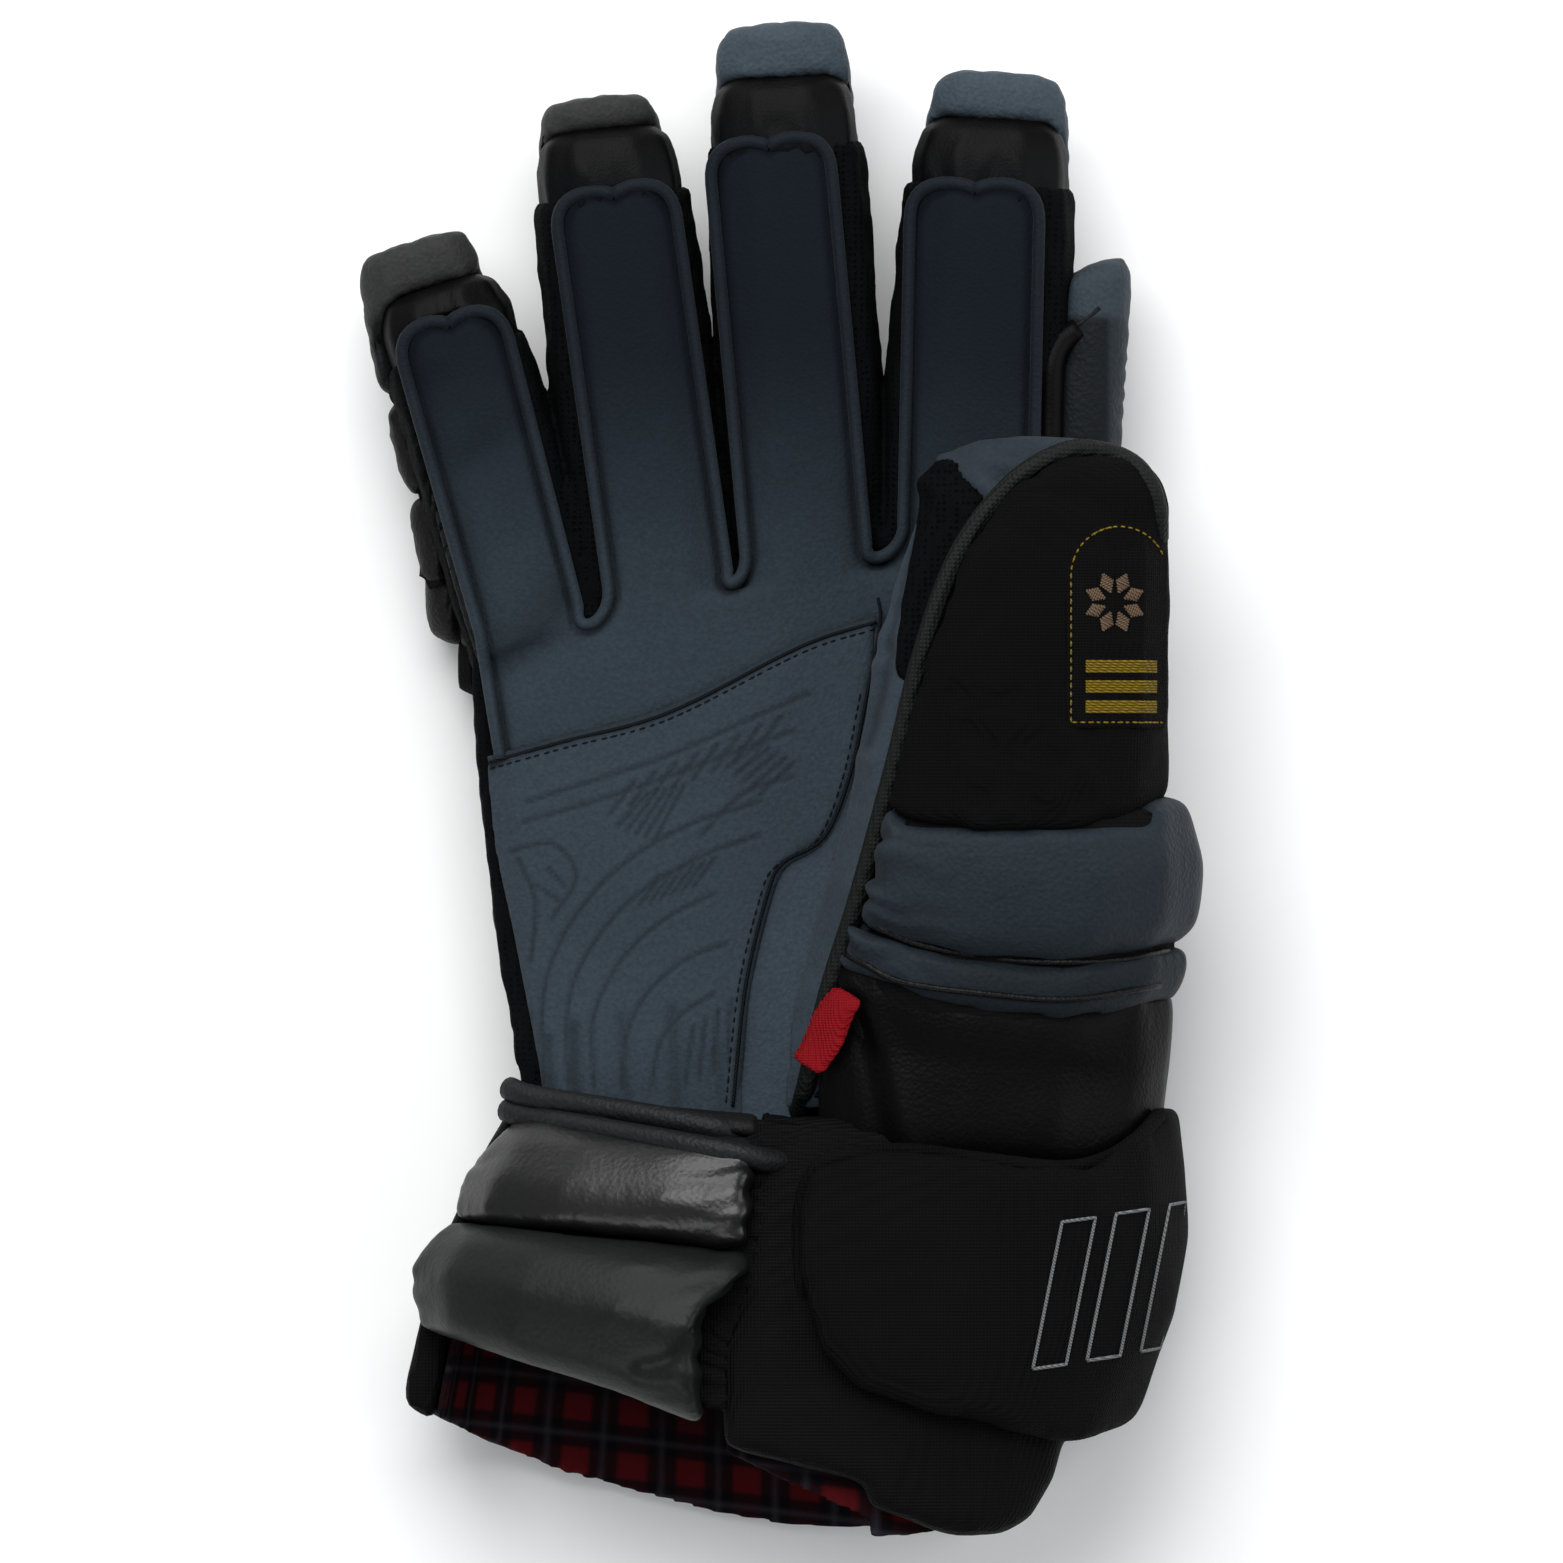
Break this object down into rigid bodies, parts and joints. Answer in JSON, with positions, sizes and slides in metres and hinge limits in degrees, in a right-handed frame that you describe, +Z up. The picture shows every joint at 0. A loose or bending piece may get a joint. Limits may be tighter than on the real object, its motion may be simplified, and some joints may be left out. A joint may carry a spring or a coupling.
{
  "type": "ice hockey glove",
  "caption": "Padded ice hockey glove for the right hand, palm up, with hollow finger and thumb stalls and a flared open cuff.",
  "frame": {"origin": "on the surface that the glove lies on, under the middle of its length and width", "axes": "+X towards the thumb, +Y from the cuff to the fingertips, +Z up, out of the palm"},
  "size_m": [0.2018, 0.3612, 0.0941],
  "materials": {
    "palm_leather": "matte, softly creased",
    "stretch_mesh": "open mesh",
    "liner_fabric": "matte weave",
    "glossy_cap": "glossy",
    "black_leather": "grained",
    "slate_leather": "satin",
    "knit_facing": "brushed knit",
    "plaid_lining": "woven plaid",
    "red_tag": "woven"
  },
  "bodies": {
    "root": {"palm_upper": "palm_leather", "palm_heel": "palm_leather", "palm_thenar": "palm_leather", "thumb_leather": "palm_leather", "gusset_little_side": "stretch_mesh", "gusset_little_ring": "stretch_mesh", "gusset_ring_middle": "stretch_mesh", "gusset_middle_index": "stretch_mesh", "gusset_index_side": "stretch_mesh", "thumb_gusset": "stretch_mesh", "back_liner": "liner_fabric", "thumb_side": "liner_fabric", "cuff_side": "liner_fabric", "cuff_back": "liner_fabric", "wrist_binding": "liner_fabric", "tip_cap_little": "glossy_cap", "tip_cap_ring": "glossy_cap", "tip_cap_middle": "glossy_cap", "tip_cap_index": "glossy_cap", "thumb_base_panel": "glossy_cap", "wrist_roll_upper": "glossy_cap", "wrist_roll_lower": "glossy_cap", "thumb_shell": "black_leather", "thumb_patch": "black_leather", "thumb_binding": "black_leather", "knuckle_roll": "black_leather", "backhand_roll_1": "black_leather", "backhand_roll_2": "black_leather", "backhand_roll_3": "black_leather", "backhand_roll_4": "black_leather", "pad_little_inner": "black_leather", "pad_little_middle": "black_leather", "pad_little_tip": "black_leather", "pad_ring_inner": "black_leather", "pad_ring_middle": "black_leather", "pad_ring_tip": "black_leather", "pad_middle_inner": "black_leather", "pad_middle_middle": "black_leather", "pad_index_inner": "black_leather", "pad_index_middle": "black_leather", "thumb_roll": "slate_leather", "thumb_band": "slate_leather", "pad_middle_tip": "slate_leather", "pad_index_tip": "slate_leather", "index_side_roll": "slate_leather", "cuff_side_pad": "knit_facing", "cuff_lining": "plaid_lining", "seam_tag": "red_tag"}
  },
  "joints": []
}
